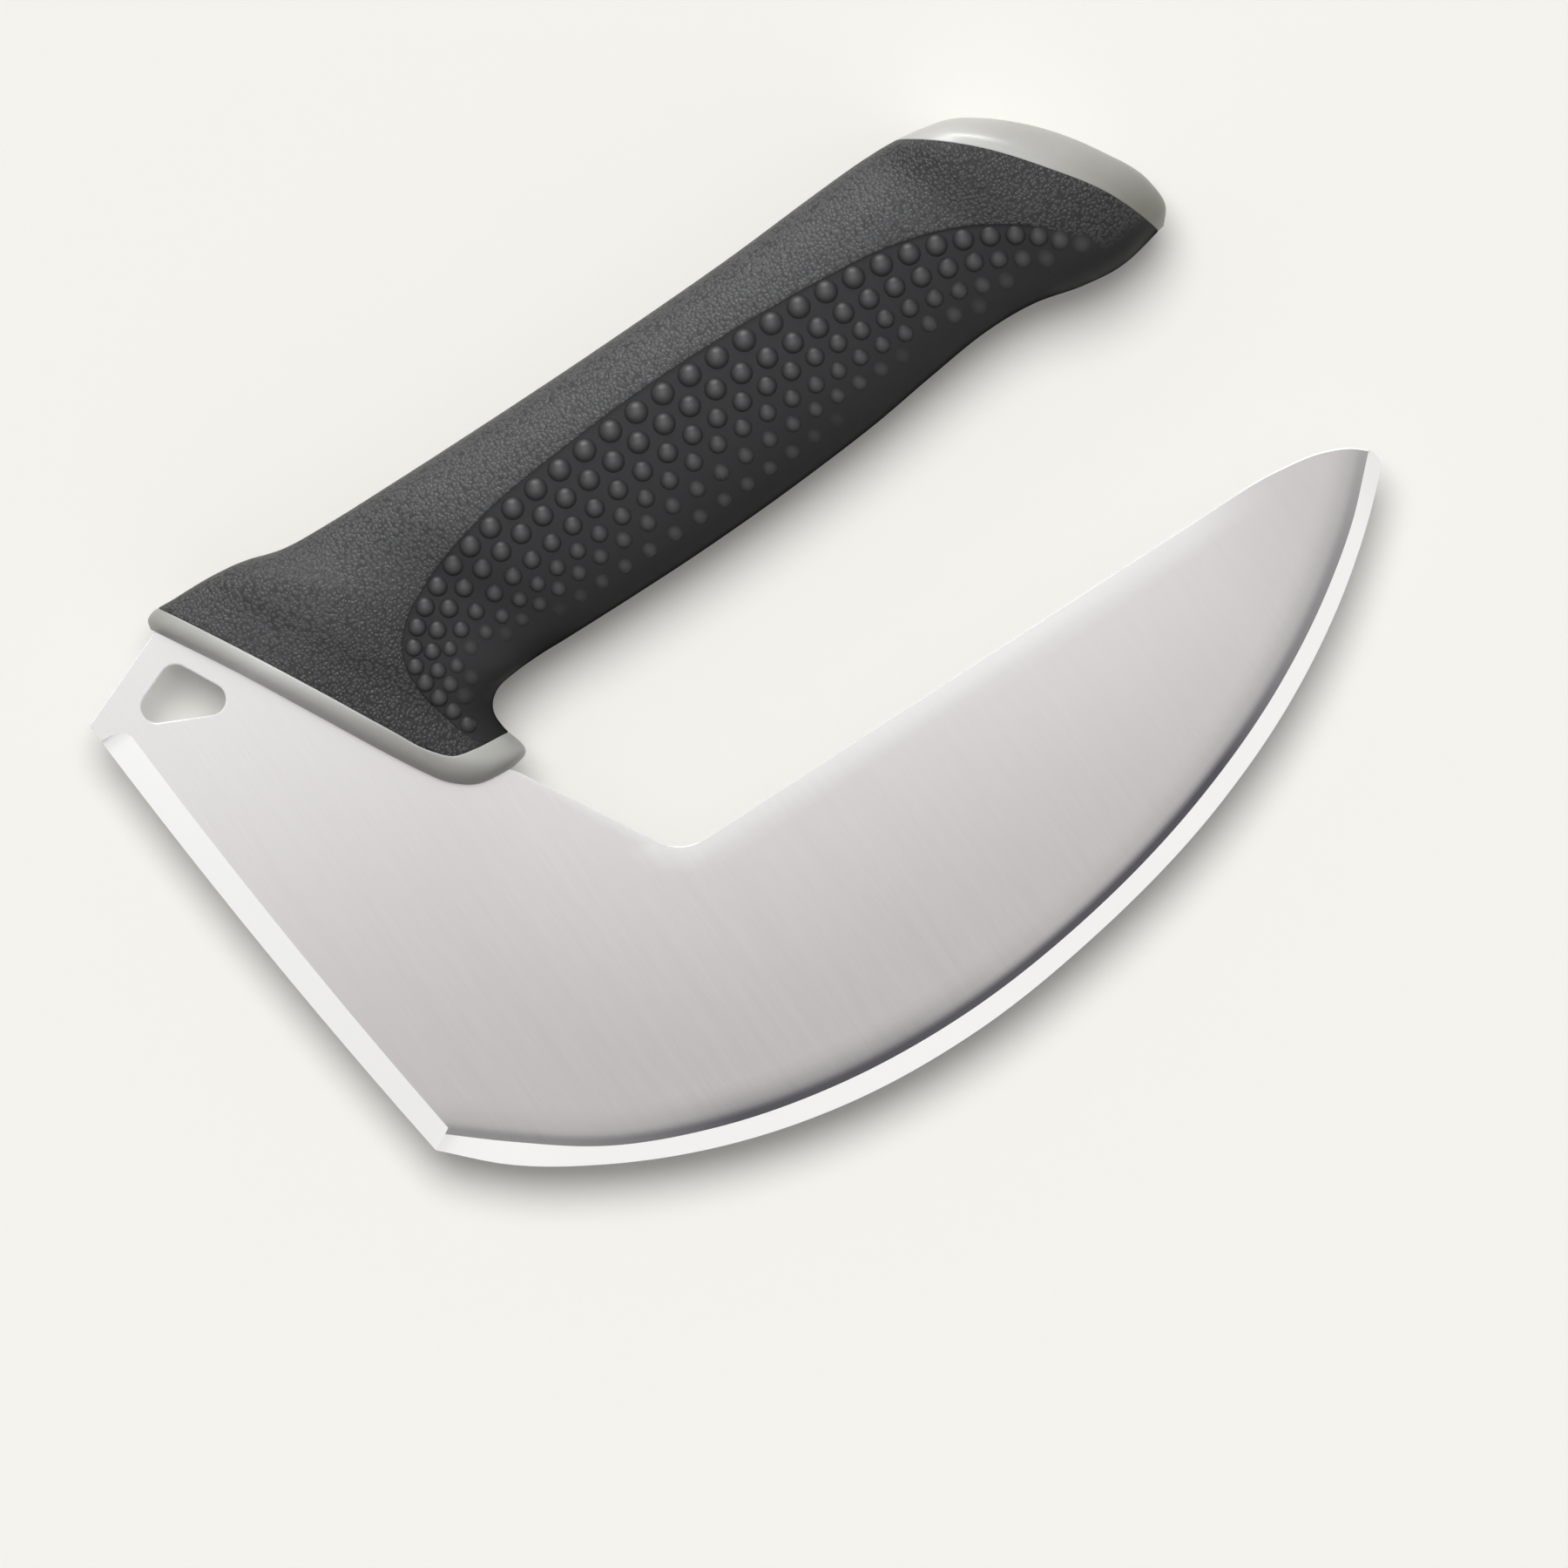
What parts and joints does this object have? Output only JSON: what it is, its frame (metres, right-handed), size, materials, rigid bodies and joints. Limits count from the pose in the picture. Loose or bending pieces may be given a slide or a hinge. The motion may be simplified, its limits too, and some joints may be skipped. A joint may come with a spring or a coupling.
{
  "type": "ulu knife",
  "caption": "Kitchen knife with a C-shaped blade whose rocker edge lies under a moulded two-colour handle, with a hanging hole at the heel.",
  "frame": {"origin": "middle of the knife's box seen from above, at the height of the handle's lower side", "axes": "the knife lies flat: +X along the handle towards its butt and the blade's tip, +Y from the rocker edge towards the handle's spine, +Z across the blade"},
  "size_m": [0.2104, 0.142, 0.0272],
  "materials": {
    "brushed_steel": "satin, ground edges",
    "light_grey_plastic": "satin",
    "dark_soft_plastic": "soft, grained, with smooth dotted sides"
  },
  "bodies": {
    "root": {"blade": "brushed_steel", "handle_core": "light_grey_plastic", "grip": "dark_soft_plastic"}
  },
  "joints": []
}
